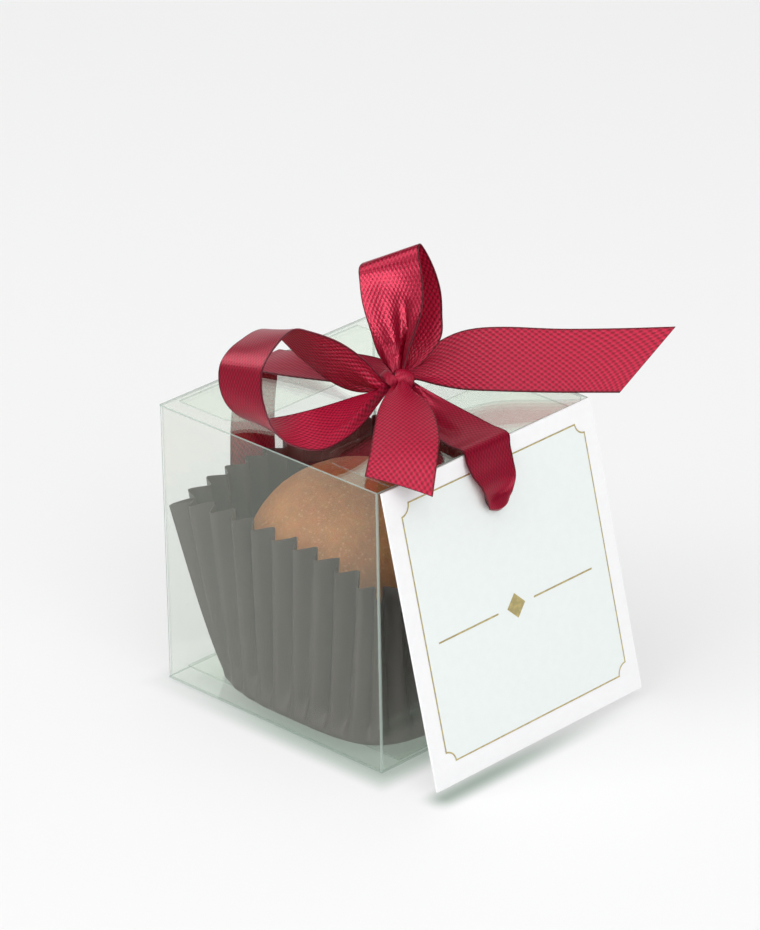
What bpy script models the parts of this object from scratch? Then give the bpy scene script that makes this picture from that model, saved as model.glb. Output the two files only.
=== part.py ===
"""Gift pack of one laddu: a ball of sweet in a pleated paper case, shut in a clear folded box that
a satin ribbon ties round and closes with a bow, with a square card tag hung on the ribbon.

Metres, +Z up. The origin is on the floor under the middle of the box. The tag hangs on the -Y wall.
Dimensions below are in millimetres and become metres in one place each, with MM.
"""
import math

import bmesh
import bpy
from mathutils import Matrix, Vector, noise

MM = 0.001
TINY = 1e-7  # metres
GAP = 0.3  # clearance between two pieces that touch
LAP = 0.1  # how far one panel of a folded sheet runs into the next
FLUSH = 0.01  # keeps two panels' faces off one plane

# ribbon
RIBBON_THICK = 0.3
KNOT_CENTRE = Vector((2.0, -4.0, 55.5))
KNOT_RADIUS = 2.2
NUDGE = 0.05  # step along a strand that its direction is read over
BOW_TURN = math.radians(45)  # the bow faces the box's -X -Y corner
BOW_TILT = math.radians(25)  # and leans back

# clear box
BOX_SIDE = 50.0
BOX_BOTTOM = RIBBON_THICK + GAP
BOX_TOP = 51.0
FILM = 0.3
FLAP_FRONT = 17.5
FLAP_BACK = 14.8
FLAP_HALF_WIDTH = 20.8
FLAP_CORNER = 4.5
TUCK_LENGTH = 12.0
TUCK_INSET = 1.5

# paper case
PAPER_THICK = 0.25
CASE_Z = BOX_BOTTOM + 2 * FILM + 2 * GAP + PAPER_THICK / 2
CASE_BASE = 23.75  # half width of the base, whose corners are rounder the lower their power is
BASE_SHIFT = -0.45  # the base lies this far along X, clear of the tuck inside the +X wall
BASE_POWERS = (2.6, 4.2, 2.8, 2.8)  # -X +Y, -X -Y, +X -Y and +X +Y corners
BASE_ROUND = 0.9  # how far the flat of the base stops short of its outline
CASE_RIDGE = 24.25  # half width of the square that the outer folds reach at the rim
CASE_VALLEY = 22.1  # and the inner folds
CASE_RIM = 34.3  # height of the rim at the middle of a side
RIM_TILT = 0.045  # how much higher the rim is for each millimetre towards +Y
CORNER_DROP, DROP_POWER = 2.85, 3.5  # how far the rim dips at the corners, and how late
VALLEY_RISE = 0.4  # inner folds stand this much higher
PLEATS_PER_WALL = (10, 10, 10, 11)  # -X, -Y, +X and +Y walls
CASE_LEVELS = (0.03, 0.33, 0.66, 1.0)
CASE_FLARE = 0.85  # power of the level that bows the wall out

# laddu
LADDU_RADIUS = 18.7
LADDU_CENTRE = Vector((-2.7, 2.7, 20.3))
LADDU_REST_Z = CASE_Z + PAPER_THICK / 2 + GAP
UNEVEN, UNEVEN_PITCH = 0.12, 0.09  # how far the ball is off round, and how closely it varies
GRAIN, GRAIN_PITCH = 0.06, 0.7

# tag
TAG_WIDTH = 49.3
TAG_HEIGHT = 50.8
TAG_THICK = 0.4
TAG_TOP = Vector((-0.5, -26.0, 51.3))  # middle of the top edge of the front face
TAG_LEAN = math.radians(13)
TAG_YAW = math.radians(0.6)
PUNCH_DEPTH = 6.0
HOLE_RADIUS = 2.6
HOLE_DOWN = 8.2
HOLE_X = -0.3

# Each strand of ribbon is a row of stations: its two edges and how far its middle bulges out.
# The bow's stations are in its own frame: right, up and away from the side it faces.
LEFT_LOOP = (
    ((-0.7, -0.3, -0.5), (-1.0, 0.4, 1.5), 0.0),
    ((-2.7, -0.1, -2.5), (-3.7, -1.8, 1.5), 0.6),
    ((-5.6, 2.9, -4.0), (-7.3, -2.0, 4.0), 0.5),
    ((-9.7, 5.9, -4.5), (-11.5, -0.2, 4.3), 0.2),
    ((-14.6, 7.8, -4.4), (-16.4, 3.8, 5.4), 0.0),
    ((-17.4, 7.1, -4.9), (-21.6, 7.4, 5.0), 0.0),
    ((-20.3, 5.1, -6.9), (-26.4, 7.1, 1.7), 0.0),
    ((-22.2, 2.0, -9.0), (-29.2, 3.2, -0.8), 0.0),
    ((-22.5, -1.3, -10.5), (-29.5, -0.7, -2.3), 0.0),
    ((-22.0, -4.5, -12.5), (-28.0, -4.2, -3.7), 0.0),
    ((-20.6, -8.1, -14.5), (-24.6, -6.4, -5.1), 0.0),
    ((-17.7, -10.6, -15.7), (-19.7, -6.0, -6.0), 0.0),
    ((-13.2, -11.5, -16.3), (-15.6, -5.2, -7.7), 0.0),
    ((-8.9, -9.6, -12.6), (-11.1, -4.0, -3.8), 0.2),
    ((-5.8, -6.9, -7.8), (-7.5, -2.9, -0.8), 0.5),
    ((-3.3, -3.8, -2.8), (-4.4, -2.0, 0.0), 0.5),
    ((-1.1, -1.2, -0.5), (-1.4, -0.7, 0.8), 0.0),
)
UPPER_LOOP = (
    ((-0.4, -0.3, 0.5), (0.3, 0.2, -0.5), 0.0),
    ((-3.4, 3.6, 0.5), (1.3, 4.2, -3.0), 0.8),
    ((-4.8, 8.0, 0.5), (2.6, 7.6, -5.0), 0.6),
    ((-6.0, 12.4, -0.4), (3.8, 11.8, -5.0), 0.3),
    ((-6.4, 16.1, -1.4), (3.8, 16.5, -5.0), 0.0),
    ((-6.4, 18.1, -1.4), (3.3, 20.7, -5.2), 0.0),
    ((-5.6, 18.9, 0.1), (3.7, 21.7, -4.4), 0.0),
    ((-3.7, 17.5, 3.6), (5.6, 18.3, -1.8), 0.0),
    ((-2.6, 14.3, 5.1), (6.8, 14.3, -0.3), 0.0),
    ((-2.3, 10.5, 5.1), (7.0, 10.4, -0.5), 0.2),
    ((-1.6, 6.3, 3.5), (6.7, 6.4, -0.5), 0.4),
    ((-0.5, 2.7, 2.0), (3.9, 2.9, -0.5), 0.5),
    ((-0.2, -0.1, 1.0), (0.6, 0.4, 0.0), 0.0),
)
RIGHT_TAIL = (
    ((-0.1, 0.7, 0.5), (0.1, -0.5, -0.5), 0.0),
    ((3.3, 3.4, 2.0), (2.5, -0.3, -0.5), 0.6),
    ((6.8, 6.2, 4.0), (6.0, -1.2, 0.8), 0.6),
    ((11.0, 7.8, 6.0), (10.1, -2.0, 2.0), 0.3),
    ((16.7, 8.2, 7.3), (15.9, -2.4, 3.3), 0.0),
    ((26.5, 7.7, 7.8), (25.6, -2.8, 3.0), 0.0),
    ((36.0, 7.6, 7.9), (31.0, -2.9, 3.1), 0.0),
    ((45.5, 7.7, 8.0), (35.9, -3.0, 3.2), 0.0),
)
FRONT_TAIL = (
    ((-0.2, -0.4, -0.5), (0.4, -0.3, -0.5), 0.0),
    ((-1.6, -1.6, -5.0), (1.8, -2.0, -6.0), 0.6),
    ((-3.6, -5.0, -14.0), (4.7, -5.0, -15.0), 0.8),
    ((-4.6, -8.9, -22.0), (5.9, -9.1, -23.6), 0.6),
    ((-5.2, -12.0, -26.6), (5.6, -12.7, -28.6), 0.5),
    ((-6.1, -15.7, -29.6), (4.6, -19.1, -31.6), 0.4),
)
# The band round the box is in the part's frame, from the knot over the back and underneath.
BACK_OUT = BOX_SIDE / 2 + GAP + RIBBON_THICK / 2
LID_OVER = BOX_TOP + GAP + RIBBON_THICK / 2
UNDER = RIBBON_THICK / 2
BAND_BACK = (
    ((1.2, -4.4, 54.6), (2.8, -3.6, 55.6), 0.0),
    ((0.2, 1.0, 53.2), (4.6, 1.5, 56.0), 0.4),
    ((-1.4, 8.5, 52.2), (4.4, 9.0, 55.2), 0.5),
    ((-4.0, 17.0, LID_OVER + 0.1), (3.8, 17.0, 53.2), 0.3),
    ((-6.6, 24.4, LID_OVER), (3.2, 24.4, LID_OVER), 0.0),
    ((-6.9, BACK_OUT - 0.1, BOX_TOP + 0.35), (3.0, BACK_OUT - 0.1, BOX_TOP + 0.35), 0.0),
    ((-7.0, BACK_OUT, BOX_TOP - 0.5), (3.0, BACK_OUT, BOX_TOP - 0.5), 0.0),
    ((-8.6, BACK_OUT, 40.0), (1.5, BACK_OUT, 40.0), 0.0),
    ((-9.0, BACK_OUT, 20.0), (1.8, BACK_OUT, 20.0), 0.0),
    ((-9.0, BACK_OUT, BOX_BOTTOM + 0.5), (1.8, BACK_OUT, BOX_BOTTOM + 0.5), 0.0),
    ((-9.0, BACK_OUT - 0.1, UNDER + 0.15), (1.8, BACK_OUT - 0.1, UNDER + 0.15), 0.0),
    ((-9.0, 24.4, UNDER), (1.8, 24.4, UNDER), 0.0),
    ((-9.0, 24.0, UNDER), (1.8, 24.0, UNDER), 0.0),
    ((-7.6, -24.0, UNDER), (3.2, -24.0, UNDER), 0.0),
    ((-7.6, -24.4, UNDER), (3.2, -24.4, UNDER), 0.0),
    ((-7.6, 0.1 - BACK_OUT, UNDER + 0.15), (3.2, 0.1 - BACK_OUT, UNDER + 0.15), 0.0),
    ((-7.5, -BACK_OUT, BOX_BOTTOM + 0.5), (3.3, -BACK_OUT, BOX_BOTTOM + 0.5), 0.0),
    ((-6.8, -BACK_OUT, 20.0), (3.8, -BACK_OUT, 20.0), 0.0),
    ((-5.2, -BACK_OUT - 0.1, 31.0), (3.0, -BACK_OUT - 0.1, 31.0), 0.3),
)
# Its end runs on through the tag's hole and up over the tag: across the card, down it and out of it.
BAND_ON_TAG = (
    ((-2.6, 13.0, -1.8), (2.0, 13.0, -1.8), 0.3),
    ((-2.1, 10.6, -1.5), (1.6, 10.6, -1.5), 0.3),
    ((-2.0, 9.4, -0.2), (1.4, 9.4, -0.2), 0.2),
    ((-2.9, 9.7, 1.2), (1.2, 10.1, 1.3), 0.5),
    ((-3.8, 8.0, 1.9), (2.2, 8.2, 2.0), 0.7),
    ((-4.6, 6.0, 1.8), (3.2, 6.0, 1.8), 0.5),
    ((-5.7, 3.6, 1.3), (3.7, 3.6, 1.3), 0.3),
    ((-6.2, 1.2, 0.9), (4.0, 1.2, 0.9), 0.1),
)
# And from the front edge of the lid back to the knot.
BAND_FRONT = (
    ((-6.2, -26.0, 51.9), (4.1, -26.2, 51.9), 0.0),
    ((-5.8, -22.5, 51.8), (4.2, -22.6, 52.1), 0.2),
    ((-4.6, -17.0, 52.1), (4.3, -17.5, 52.6), 0.5),
    ((-1.8, -10.5, 53.0), (4.0, -11.0, 53.6), 0.6),
    ((1.3, -4.8, 55.0), (2.8, -4.6, 55.4), 0.0),
)


def new_collection(name):
    collection = bpy.data.collections.new(name)
    bpy.context.scene.collection.children.link(collection)
    return collection


def material(name, rgb, roughness, alpha=1.0):
    made = bpy.data.materials.new(name)
    made.use_nodes = True
    shader = made.node_tree.nodes["Principled BSDF"]
    shader.inputs["Base Color"].default_value = (*rgb, 1.0)
    shader.inputs["Roughness"].default_value = roughness
    shader.inputs["Metallic"].default_value = 0.0
    shader.inputs["Alpha"].default_value = alpha
    return made


def mesh_object(name, mesh, collection, surface=None):
    made = bpy.data.objects.new(name, mesh)
    if surface:
        made.data.materials.append(surface)
    collection.objects.link(made)
    return made


def object_from_bmesh(name, shape, collection, surface=None):
    mesh = bpy.data.meshes.new(name)
    shape.to_mesh(mesh)
    shape.free()
    return mesh_object(name, mesh, collection, surface)


def evaluated_copy(source, name, collection, surface):
    """A plain mesh object holding what the source's modifiers make."""
    depsgraph = bpy.context.evaluated_depsgraph_get()
    mesh = bpy.data.meshes.new_from_object(source.evaluated_get(depsgraph))
    mesh.name = name
    mesh.materials.clear()
    return mesh_object(name, mesh, collection, surface)


def union(name, first, others, collection, surface):
    """The first object joined with every object of a collection, which is then emptied."""
    join = first.modifiers.new("join", "BOOLEAN")
    join.operation = "UNION"
    join.operand_type = "COLLECTION"
    join.collection = others
    joined = evaluated_copy(first, name, collection, surface)
    for used in (first, *others.objects):
        bpy.data.objects.remove(used)
    bpy.data.collections.remove(others)
    return joined


def solidify(target, thickness):
    shell = target.modifiers.new("thickness", "SOLIDIFY")
    shell.thickness = thickness * MM
    shell.offset = 0.0


def bow_point(point):
    """A point of the bow's own frame in the part's frame, in millimetres."""
    right = Vector((math.cos(BOW_TURN), -math.sin(BOW_TURN), 0.0))
    away = Vector((math.sin(BOW_TURN), math.cos(BOW_TURN), 0.0)) * math.cos(BOW_TILT)
    away.z = -math.sin(BOW_TILT)
    up = right.cross(away)
    return KNOT_CENTRE + right * point[0] + up * point[1] + away * point[2]


def tag_matrix():
    """Places the tag: X across the card, -Z down it and -Y out of its front face."""
    turn = Matrix.Rotation(TAG_YAW, 4, "Z") @ Matrix.Rotation(-TAG_LEAN, 4, "X")
    return Matrix.Translation(TAG_TOP * MM) @ turn


def tag_point(point):
    """Across, down and out on the tag's front face, in the part's frame, in millimetres."""
    across, down, out = point
    return (tag_matrix() @ (Vector((across, -out, -down)) * MM)) / MM


def placed(stations, place):
    return [(place(a), place(b), bulge) for a, b, bulge in stations]


def smooth_value(values, knots, at):
    """Cubic curve through the values, which lie at the given knots along it."""
    last = len(values) - 1
    index = min(max(sum(knot <= at for knot in knots) - 1, 0), last - 1)
    span = knots[index + 1] - knots[index]
    part = (at - knots[index]) / span

    def slope(place):
        before, after = max(place - 1, 0), min(place + 1, last)
        return (values[after] - values[before]) / (knots[after] - knots[before])

    square, cube = part * part, part * part * part
    return (
        values[index] * (2 * cube - 3 * square + 1)
        + slope(index) * span * (cube - 2 * square + part)
        + values[index + 1] * (3 * square - 2 * cube)
        + slope(index + 1) * span * (cube - square)
    )


def evaluated_copy_in_place(source, collection):
    plain = evaluated_copy(source, source.name + "_solid", collection, None)
    bpy.data.objects.remove(source)
    return plain


def strand(name, stations, collection, steps=3, cells=4):
    """A length of ribbon: a sheet lofted through its stations and given its thickness."""
    left = [Vector(a) for a, b, bulge in stations]
    right = [Vector(b) for a, b, bulge in stations]
    bulges = [bulge for a, b, bulge in stations]
    middle = [(a + b) / 2 for a, b in zip(left, right)]
    knots = [0.0]
    for start, end in zip(middle, middle[1:]):
        knots.append(knots[-1] + (end - start).length)
    shape = bmesh.new()
    rows = []
    count = (len(stations) - 1) * steps
    for row in range(count + 1):
        index = min(row // steps, len(stations) - 2)
        at = knots[index] + (row / steps - index) * (knots[index + 1] - knots[index])
        a, b = smooth_value(left, knots, at), smooth_value(right, knots, at)
        ahead = smooth_value(middle, knots, min(at + NUDGE, knots[-1]))
        behind = smooth_value(middle, knots, max(at - NUDGE, 0.0))
        normal = (ahead - behind).cross(b - a).normalized()
        bulge = smooth_value(bulges, knots, at)
        line = []
        for cell in range(cells + 1):
            across = cell / cells
            point = a.lerp(b, across) + normal * bulge * 4 * across * (1 - across)
            line.append(shape.verts.new(point * MM))
        rows.append(line)
    for line, following in zip(rows, rows[1:]):
        for cell in range(cells):
            shape.faces.new((line[cell], line[cell + 1], following[cell + 1], following[cell]))
    made = object_from_bmesh(name, shape, collection)
    solidify(made, RIBBON_THICK)
    return evaluated_copy_in_place(made, collection)


def slab(name, low, high, collection, round_y=None):
    """A box between two corners in millimetres, its upright edges at one Y end rounded if asked."""
    low, high = Vector(low), Vector(high)
    shape = bmesh.new()
    bmesh.ops.create_cube(shape, size=1.0)
    size = (high - low) * MM
    bmesh.ops.scale(shape, vec=size, verts=shape.verts)
    bmesh.ops.translate(shape, vec=(low + high) / 2 * MM, verts=shape.verts)
    if round_y is not None:
        edges = [
            edge
            for edge in shape.edges
            if all(abs(vert.co.y - round_y * MM) < TINY for vert in edge.verts)
            and abs(edge.verts[0].co.z - edge.verts[1].co.z) > TINY
        ]
        bmesh.ops.bevel(
            shape, geom=edges, offset=FLAP_CORNER * MM, segments=4, profile=0.5, affect="EDGES"
        )
    return object_from_bmesh(name, shape, collection)


def make_box(collection):
    """One folded sheet: four walls, and a lid and a bottom that each have a hinge on the -X wall,
    a tuck flap inside the +X wall and two dust flaps from the Y walls under the panel."""
    half, thin = BOX_SIDE / 2, FILM
    inner = half - thin
    reach = half - LAP
    panel_end = inner - GAP
    first = slab("wall_left", (-half, -half, BOX_BOTTOM), (-inner, half, BOX_TOP), collection)
    others = new_collection("folds")
    slab("wall_right", (inner, -half, BOX_BOTTOM), (half, half, BOX_TOP), others)
    wide = FLAP_HALF_WIDTH
    low_z, high_z = BOX_BOTTOM + thin + GAP, BOX_TOP - thin - GAP
    for side, sign, length in (("front", -1, FLAP_FRONT), ("back", 1, FLAP_BACK)):
        low_y, high_y = sorted((sign * (half - FLUSH), sign * inner))
        slab(f"wall_{side}", (-reach, low_y, low_z), (reach, high_y, high_z), others)
        end = sign * (half - length)
        low_y, high_y = sorted((end, sign * reach))
        for level, flap_low in (("base", low_z + FLUSH), ("lid", high_z - FLUSH - thin)):
            low, high = (-wide, low_y, flap_low), (wide, high_y, flap_low + thin)
            slab(f"dust_flap_{side}_{level}", low, high, others, round_y=end)
    lid_low, base_low = BOX_TOP - FLUSH - thin, BOX_BOTTOM + FLUSH
    slab("lid", (-reach, -reach, lid_low), (panel_end, reach, lid_low + thin), others)
    slab("base", (-reach, -reach, base_low), (panel_end, reach, base_low + thin), others)
    tuck = half - TUCK_INSET
    start, end = panel_end - FLUSH - thin, panel_end - FLUSH
    tuck_low, tuck_high = BOX_TOP - TUCK_LENGTH, BOX_BOTTOM + TUCK_LENGTH
    slab("tuck_lid", (start, -tuck, tuck_low), (end, tuck, BOX_TOP - LAP), others)
    slab("tuck_base", (start, -tuck, BOX_BOTTOM + LAP), (end, tuck, tuck_high), others)
    clear = material("clear_film", (0.82, 0.9, 0.86), 0.05, alpha=0.25)
    return union("clear_box", first, others, collection, clear)


def case_columns():
    """Base and rim points of every fold of the paper case, anticlockwise from the -X +Y corner."""
    columns = []
    for wall, pleats in enumerate(PLEATS_PER_WALL):
        out = math.radians(180 + 90 * wall)
        outward = Vector((math.cos(out), math.sin(out), 0))
        along = Vector((-outward.y, outward.x, 0))
        for fold in range(2 * pleats):
            share = fold / (2 * pleats)
            slant = math.radians(90 * share - 45)
            power = BASE_POWERS[(wall + round(share)) % 4]
            size = (math.cos(slant) ** power + abs(math.sin(slant)) ** power) ** (1 / power)
            base = (outward * math.cos(slant) + along * math.sin(slant)) * CASE_BASE / size
            base.x += BASE_SHIFT
            inner = fold % 2
            rim = outward * (CASE_VALLEY if inner else CASE_RIDGE) + along * (2 * share - 1) * CASE_RIDGE
            dip = CORNER_DROP * abs(2 * share - 1) ** DROP_POWER
            base.z = CASE_Z
            rim.z = CASE_RIM + RIM_TILT * rim.y - dip + VALLEY_RISE * inner
            columns.append((base, rim))
    return columns


def make_case(collection):
    """The paper case: a flat base that nearly fills the box's, and a pleated wall up from it."""
    shape = bmesh.new()
    middle = Vector((0, 0, CASE_Z))
    centre = shape.verts.new(middle * MM)
    columns = case_columns()
    flat = [base + (middle - base).normalized() * BASE_ROUND for base, rim in columns]
    rings = [[shape.verts.new(spot * MM) for spot in flat]]
    for level in CASE_LEVELS:
        ring = []
        for base, rim in columns:
            spot = base.lerp(rim, level**CASE_FLARE)
            spot.z = base.z + level * (rim.z - base.z)
            ring.append(shape.verts.new(spot * MM))
        rings.append(ring)
    count = len(columns)
    for index in range(count):
        following = (index + 1) % count
        shape.faces.new((centre, rings[0][index], rings[0][following]))
        for low, high in zip(rings, rings[1:]):
            shape.faces.new((low[index], high[index], high[following], low[following]))
    bmesh.ops.recalc_face_normals(shape, faces=shape.faces)
    paper = material("case_paper", (0.05, 0.03, 0.025), 0.8)
    made = object_from_bmesh("paper_case", shape, collection, paper)
    solidify(made, PAPER_THICK)
    return made


def make_laddu(collection):
    """A ball pressed by hand: not quite round, finely grained, and flat where it rests."""
    shape = bmesh.new()
    bmesh.ops.create_uvsphere(shape, u_segments=48, v_segments=30, radius=LADDU_RADIUS)
    for vert in shape.verts:
        outward = vert.co.normalized()
        uneven = UNEVEN * noise.noise(vert.co * UNEVEN_PITCH)
        uneven += GRAIN * noise.noise(vert.co * GRAIN_PITCH)
        spot = LADDU_CENTRE + vert.co + outward * uneven
        spot.z = max(spot.z, LADDU_REST_Z)
        vert.co = spot * MM
    sweet = material("laddu", (0.42, 0.14, 0.025), 0.6)
    made = object_from_bmesh("laddu", shape, collection, sweet)
    made.data.shade_smooth()
    return made


def make_tag(collection, cutters):
    """A square card with a punched hole near its top edge, leaning out from the wall."""
    radius = HOLE_RADIUS * MM
    across_card = Matrix.Rotation(math.radians(90), 3, "X")
    hole_shape = bmesh.new()
    bmesh.ops.create_cone(
        hole_shape,
        cap_ends=True,
        segments=32,
        radius1=radius,
        radius2=radius,
        depth=PUNCH_DEPTH * MM,
    )
    bmesh.ops.rotate(hole_shape, matrix=across_card, verts=hole_shape.verts)
    hole = object_from_bmesh("tag_hole", hole_shape, cutters)
    hole.matrix_world = tag_matrix() @ Matrix.Translation(Vector((HOLE_X, 0, -HOLE_DOWN)) * MM)
    hole.hide_render = True
    hole.display_type = "WIRE"
    half = TAG_WIDTH / 2
    tag = slab("gift_tag", (-half, 0, -TAG_HEIGHT), (half, TAG_THICK, 0), collection)
    tag.matrix_world = tag_matrix()
    tag.data.materials.append(material("tag_card", (0.83, 0.85, 0.84), 0.55))
    punch = tag.modifiers.new("punch", "BOOLEAN")
    punch.operation = "DIFFERENCE"
    punch.object = hole
    return tag


def make_ribbon(collection):
    """One ribbon: round the box, through the tag's hole, and tied in a bow with two loops and two tails."""
    strands = new_collection("strands")
    strand("left_loop", placed(LEFT_LOOP, bow_point), strands)
    strand("upper_loop", placed(UPPER_LOOP, bow_point), strands)
    strand("right_tail", placed(RIGHT_TAIL, bow_point), strands, steps=2)
    strand("front_tail", placed(FRONT_TAIL, bow_point), strands, steps=2)
    band = placed(BAND_BACK, Vector) + placed(BAND_ON_TAG, tag_point) + placed(BAND_FRONT, Vector)
    strand("band", band, strands, steps=2)
    knot_shape = bmesh.new()
    bmesh.ops.create_uvsphere(knot_shape, u_segments=16, v_segments=10, radius=KNOT_RADIUS * MM)
    bmesh.ops.translate(knot_shape, vec=KNOT_CENTRE * MM, verts=knot_shape.verts)
    knot = object_from_bmesh("knot", knot_shape, collection)
    satin = material("satin", (0.36, 0.012, 0.045), 0.4)
    return union("ribbon", knot, strands, collection, satin)


def main():
    for old in list(bpy.data.objects):
        bpy.data.objects.remove(old)
    parts = new_collection("laddu_gift_pack")
    cutters = new_collection("cutters")
    make_laddu(parts)
    make_case(parts)
    make_box(parts)
    make_tag(parts, cutters)
    make_ribbon(parts)


if __name__ == "__main__":
    main()
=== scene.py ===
"""Looks of a laddu gift pack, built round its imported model: the sweet in a pleated paper case, the
clear folded box that holds them, a satin ribbon tied in a bow round the box, and its card tag.

Metres, +Z up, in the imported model's frame. Sizes are in millimetres, and become metres with MM.
"""
import math

import bmesh
import bpy
from mathutils import Matrix, Vector, noise


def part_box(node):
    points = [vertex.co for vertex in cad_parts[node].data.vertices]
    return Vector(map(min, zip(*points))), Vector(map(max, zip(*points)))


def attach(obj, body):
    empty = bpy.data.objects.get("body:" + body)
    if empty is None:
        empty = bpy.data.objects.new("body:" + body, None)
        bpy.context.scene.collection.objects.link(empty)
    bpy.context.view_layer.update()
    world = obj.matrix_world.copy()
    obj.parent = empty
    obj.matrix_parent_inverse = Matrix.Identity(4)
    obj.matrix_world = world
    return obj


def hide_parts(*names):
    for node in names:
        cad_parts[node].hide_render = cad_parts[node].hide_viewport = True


bl_info = {
    "name": "Laddu Gift Pack",
    "version": (1, 0, 0),
    "blender": (4, 5, 0),
    "location": "View3D > Sidebar > Laddu Pack",
    "description": "Builds a laddu in a clear gift box with a satin bow and a card tag",
    "category": "Add Mesh",
}

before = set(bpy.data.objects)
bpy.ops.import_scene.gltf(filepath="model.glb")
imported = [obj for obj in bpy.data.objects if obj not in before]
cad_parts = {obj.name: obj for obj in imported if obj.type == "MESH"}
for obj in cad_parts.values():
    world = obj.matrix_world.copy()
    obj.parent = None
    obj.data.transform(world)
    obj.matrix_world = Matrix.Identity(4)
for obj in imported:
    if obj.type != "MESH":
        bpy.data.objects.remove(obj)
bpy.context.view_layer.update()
BOX_LOW, BOX_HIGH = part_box("clear_box")
LADDU_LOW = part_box("laddu")[0]

MM = 0.001
TINY = 1e-6
BODY = "root"
WHITE = (1.0, 1.0, 1.0, 1.0)

# camera
CAMERA_AZIMUTH = math.radians(45.084)
CAMERA_ELEVATION = math.radians(25.31)
CAMERA_ROLL = math.radians(-1.041)
CAMERA_DISTANCE = 960.0
CAMERA_TARGET = Vector((0.0, 0.0, 25.0))
CAMERA_OFFSET = (0.413, 12.872)  # right and up of the target
CAMERA_LENS = 224.1
CAMERA_SENSOR = 36.0

# ribbon
KNOT_CENTRE = Vector((2.0, -4.0, 55.5))
BOW_TURN = math.radians(45)  # the bow faces the box's -X -Y corner
BOW_TILT = math.radians(25)  # and leans back
NUDGE = 0.05
ROW_LENGTH = 0.5
CELLS_ACROSS = 24
SATIN_GLOW = (0.95, 0.02, 0.08, 1.0)  # light that gets through the weave
GLOW_SHARE = 0.22
EDGE_PAINTED_SHADE = (0.22, 0.12, 0.16, 1.0)  # painted shade at the ribbon's two edges: how much darker they are

# Each strand is a row of stations: its two edges and how far its middle bulges out. The bow's
# stations are in its own frame: right, up and away from the side it faces.
LEFT_LOOP = (
    ((-0.7, -0.3, -0.5), (-1.0, 0.4, 1.5), 0.0),
    ((-2.7, -0.1, -2.5), (-3.7, -1.8, 1.5), 0.6),
    ((-5.6, 2.9, -4.0), (-7.3, -2.0, 4.0), 0.5),
    ((-9.7, 5.9, -4.5), (-11.5, -0.2, 4.3), 0.2),
    ((-14.6, 7.8, -4.4), (-16.4, 3.8, 5.4), 0.0),
    ((-17.4, 8.1, -4.9), (-21.6, 8.4, 5.0), 0.0),
    ((-20.3, 5.3, -6.9), (-26.3, 6.5, 1.7), 0.0),
    ((-22.2, 2.0, -9.0), (-29.2, 3.2, -0.8), 0.0),
    ((-22.5, -1.3, -10.5), (-29.5, -0.7, -2.3), 0.0),
    ((-22.0, -4.5, -12.5), (-28.0, -4.2, -3.7), 0.0),
    ((-20.6, -8.1, -14.5), (-24.6, -6.4, -5.1), 0.0),
    ((-17.7, -10.6, -15.7), (-19.7, -6.0, -6.0), 0.0),
    ((-13.2, -11.5, -16.3), (-15.6, -5.2, -7.7), 0.0),
    ((-8.9, -9.6, -12.6), (-11.1, -4.0, -3.8), 0.2),
    ((-5.8, -6.9, -7.8), (-7.5, -2.9, -0.8), 0.5),
    ((-3.3, -3.8, -2.8), (-4.4, -2.0, 0.0), 0.5),
    ((-1.1, -1.2, -0.5), (-1.4, -0.7, 0.8), 0.0),
)
UPPER_LOOP = (
    ((-0.4, -0.3, 0.5), (0.3, 0.2, -0.5), 0.0),
    ((-3.4, 3.6, 0.5), (1.3, 4.2, -3.0), 0.8),
    ((-4.8, 8.0, 0.5), (2.6, 7.6, -5.0), 0.6),
    ((-6.0, 12.4, -0.4), (3.8, 11.8, -5.0), 0.3),
    ((-6.4, 16.1, -1.4), (3.8, 16.5, -5.0), 0.0),
    ((-6.4, 18.1, -1.4), (3.3, 20.7, -5.2), 0.0),
    ((-5.6, 18.9, 0.1), (3.7, 21.7, -4.4), 0.0),
    ((-3.7, 17.5, 3.6), (5.6, 18.3, -1.8), 0.0),
    ((-2.6, 14.3, 5.1), (6.8, 14.3, -0.3), 0.0),
    ((-2.3, 10.5, 5.1), (7.0, 10.4, -0.5), 0.2),
    ((-1.6, 6.3, 3.5), (6.7, 6.4, -0.5), 0.4),
    ((-0.5, 2.7, 2.0), (3.9, 2.9, -0.5), 0.5),
    ((-0.2, -0.1, 1.0), (0.6, 0.4, 0.0), 0.0),
)
RIGHT_TAIL = (
    ((-0.1, 0.7, 0.5), (0.1, -0.5, -0.5), 0.0),
    ((3.3, 3.4, 2.0), (2.5, -0.3, -0.5), 0.6),
    ((6.8, 6.2, 4.0), (6.0, -1.2, 0.8), 0.6),
    ((11.0, 7.8, 6.0), (10.1, -2.0, 2.0), 0.3),
    ((16.7, 8.2, 7.3), (15.9, -2.4, 3.3), 0.0),
    ((26.5, 7.7, 7.8), (25.6, -2.8, 3.0), 0.0),
    ((36.0, 7.6, 7.9), (31.0, -2.9, 3.1), 0.0),
    ((45.5, 7.7, 8.0), (35.9, -3.0, 3.2), 0.0),
)
FRONT_TAIL = (
    ((-0.2, -0.4, -0.5), (0.4, -0.3, -0.5), 0.0),
    ((-1.6, -1.6, -5.0), (1.8, -2.0, -6.0), 0.6),
    ((-3.6, -5.0, -14.0), (4.7, -5.0, -15.0), 0.8),
    ((-4.6, -8.9, -22.0), (5.9, -9.1, -23.6), 0.6),
    ((-5.2, -12.0, -26.6), (5.6, -12.7, -28.6), 0.5),
    ((-6.1, -15.7, -29.6), (4.6, -19.1, -31.6), 0.4),
)
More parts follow.
